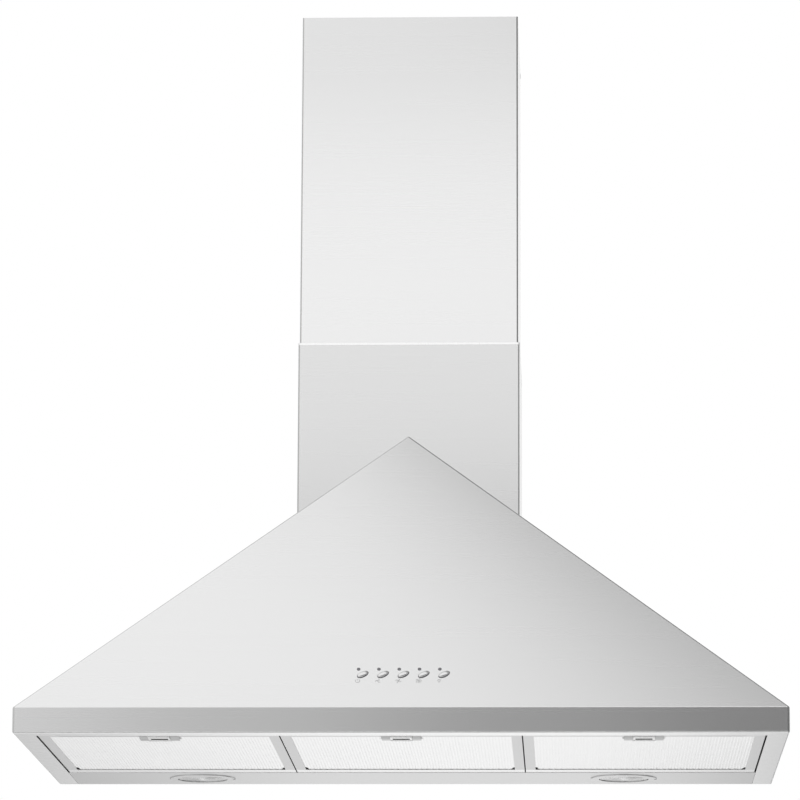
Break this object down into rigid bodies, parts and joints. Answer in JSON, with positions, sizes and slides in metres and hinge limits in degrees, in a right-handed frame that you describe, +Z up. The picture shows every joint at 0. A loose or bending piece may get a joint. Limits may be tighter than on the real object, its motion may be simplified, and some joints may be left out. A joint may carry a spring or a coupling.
{
  "type": "chimney range hood",
  "caption": "Wall-mounted chimney range hood: brushed pyramid canopy with grease filters, lamps, push buttons, blower and telescoping chimney cover.",
  "frame": {"origin": "on the wall plane, midway across the hood, at the canopy's lower edge", "axes": "+X to the right seen from the front, +Y into the wall, +Z up"},
  "size_m": [0.9, 0.5, 0.9315],
  "materials": {
    "brushed_steel": "brushed",
    "galvanised_steel": "zinc coated",
    "filter_aluminium": "satin",
    "mesh_aluminium": "bright mesh",
    "latch_metal": "satin",
    "button_chrome": "polished",
    "trim_chrome": "satin chrome",
    "lens_glass": "ribbed",
    "bulb_white": "frosted",
    "light_clear": "smoked clear",
    "casing_plastic": "moulded",
    "impeller_plastic": "moulded",
    "screw_steel": "plated",
    "motor_metal": "lacquered",
    "box_plastic": "moulded",
    "capacitor_white": "smooth",
    "board_green": "solder mask"
  },
  "bodies": {
    "hood": {"canopy_shell": "brushed_steel", "back_plate": "galvanised_steel", "chimney_deck": "galvanised_steel", "chimney_lower": "brushed_steel", "lower_cover_screws": "screw_steel", "lamp_panel": "brushed_steel", "filter_rail": "galvanised_steel", "lamp_ring_left": "trim_chrome", "lamp_ring_right": "trim_chrome", "lamp_lens_left": "lens_glass", "lamp_lens_right": "lens_glass", "lamp_housing_left": "galvanised_steel", "lamp_housing_right": "galvanised_steel", "lamp_bulb_left": "bulb_white", "lamp_bulb_right": "bulb_white", "control_housing": "casing_plastic", "control_board": "board_green", "button_switches": "capacitor_white", "light_pipes": "light_clear", "blower_case_left": "casing_plastic", "blower_case_right": "casing_plastic", "blower_screws": "screw_steel", "inlet_grille": "casing_plastic", "motor_body": "motor_metal", "motor_bracket": "galvanised_steel", "duct_collar": "casing_plastic", "damper_pin": "screw_steel", "power_box": "box_plastic", "power_box_lid": "box_plastic", "capacitor": "capacitor_white", "terminal_block": "capacitor_white", "cable_gland": "casing_plastic"},
    "upper_cover": {"chimney_upper": "brushed_steel", "chimney_bracket": "galvanised_steel", "upper_cover_screws": "screw_steel"},
    "filter_left": {"filter_frame_left": "filter_aluminium", "filter_face_left": "mesh_aluminium", "filter_layers_left": "mesh_aluminium", "latch_housing_left": "latch_metal"},
    "latch_left": {"latch_slider_left": "latch_metal"},
    "filter_middle": {"filter_frame_middle": "filter_aluminium", "filter_face_middle": "mesh_aluminium", "filter_layers_middle": "mesh_aluminium", "latch_housing_middle": "latch_metal"},
    "latch_middle": {"latch_slider_middle": "latch_metal"},
    "filter_right": {"filter_frame_right": "filter_aluminium", "filter_face_right": "mesh_aluminium", "filter_layers_right": "mesh_aluminium", "latch_housing_right": "latch_metal"},
    "latch_right": {"latch_slider_right": "latch_metal"},
    "push_1": {"button_1": "button_chrome"},
    "push_2": {"button_2": "button_chrome"},
    "push_3": {"button_3": "button_chrome"},
    "push_4": {"button_4": "button_chrome"},
    "push_5": {"button_5": "button_chrome"},
    "blower_wheel": {"impeller": "impeller_plastic", "motor_shaft": "screw_steel"},
    "damper_front": {"damper_flap_front": "galvanised_steel"},
    "damper_rear": {"damper_flap_rear": "galvanised_steel"}
  },
  "joints": [
    {"name": "cover_slide", "type": "slide", "parent": "hood", "child": "upper_cover", "axis": [0, 0, 1], "range_m": [-0.14, 0.044]},
    {"name": "filter_left_drop", "type": "hinge", "parent": "hood", "child": "filter_left", "pos_m": [-0.2825, -0.1195, 0.0005], "axis": [1, 0, 0], "range_deg": [0, 60]},
    {"name": "latch_left_slide", "type": "slide", "parent": "filter_left", "child": "latch_left", "axis": [0, 1, 0], "range_m": [0, 0.006], "stiffness_N_per_m": 300, "springref_m": -0.01},
    {"name": "filter_middle_drop", "type": "hinge", "parent": "hood", "child": "filter_middle", "pos_m": [0, -0.1195, 0.0005], "axis": [1, 0, 0], "range_deg": [0, 60]},
    {"name": "latch_middle_slide", "type": "slide", "parent": "filter_middle", "child": "latch_middle", "axis": [0, 1, 0], "range_m": [0, 0.006], "stiffness_N_per_m": 300, "springref_m": -0.01},
    {"name": "filter_right_drop", "type": "hinge", "parent": "hood", "child": "filter_right", "pos_m": [0.2825, -0.1195, 0.0005], "axis": [1, 0, 0], "range_deg": [0, 60]},
    {"name": "latch_right_slide", "type": "slide", "parent": "filter_right", "child": "latch_right", "axis": [0, 1, 0], "range_m": [0, 0.006], "stiffness_N_per_m": 300, "springref_m": -0.01},
    {"name": "button_1_press", "type": "slide", "parent": "hood", "child": "push_1", "axis": [0, 0.8338, -0.5521], "range_m": [0, 0.002], "stiffness_N_per_m": 400, "springref_m": -0.002},
    {"name": "button_2_press", "type": "slide", "parent": "hood", "child": "push_2", "axis": [0, 0.8338, -0.5521], "range_m": [0, 0.002], "stiffness_N_per_m": 400, "springref_m": -0.002},
    {"name": "button_3_press", "type": "slide", "parent": "hood", "child": "push_3", "axis": [0, 0.8338, -0.5521], "range_m": [0, 0.002], "stiffness_N_per_m": 400, "springref_m": -0.002},
    {"name": "button_4_press", "type": "slide", "parent": "hood", "child": "push_4", "axis": [0, 0.8338, -0.5521], "range_m": [0, 0.002], "stiffness_N_per_m": 400, "springref_m": -0.002},
    {"name": "button_5_press", "type": "slide", "parent": "hood", "child": "push_5", "axis": [0, 0.8338, -0.5521], "range_m": [0, 0.002], "stiffness_N_per_m": 400, "springref_m": -0.002},
    {"name": "blower_spin", "type": "hinge", "parent": "hood", "child": "blower_wheel", "pos_m": [0, -0.1825, 0.15008], "axis": [1, 0, 0], "continuous": true},
    {"name": "damper_front_open", "type": "hinge", "parent": "hood", "child": "damper_front", "pos_m": [0, -0.1285, 0.31008], "axis": [-1, 0, 0], "range_deg": [0, 75]},
    {"name": "damper_rear_open", "type": "hinge", "parent": "hood", "child": "damper_rear", "pos_m": [0, -0.1285, 0.31008], "axis": [1, 0, 0], "range_deg": [0, 75]}
  ]
}
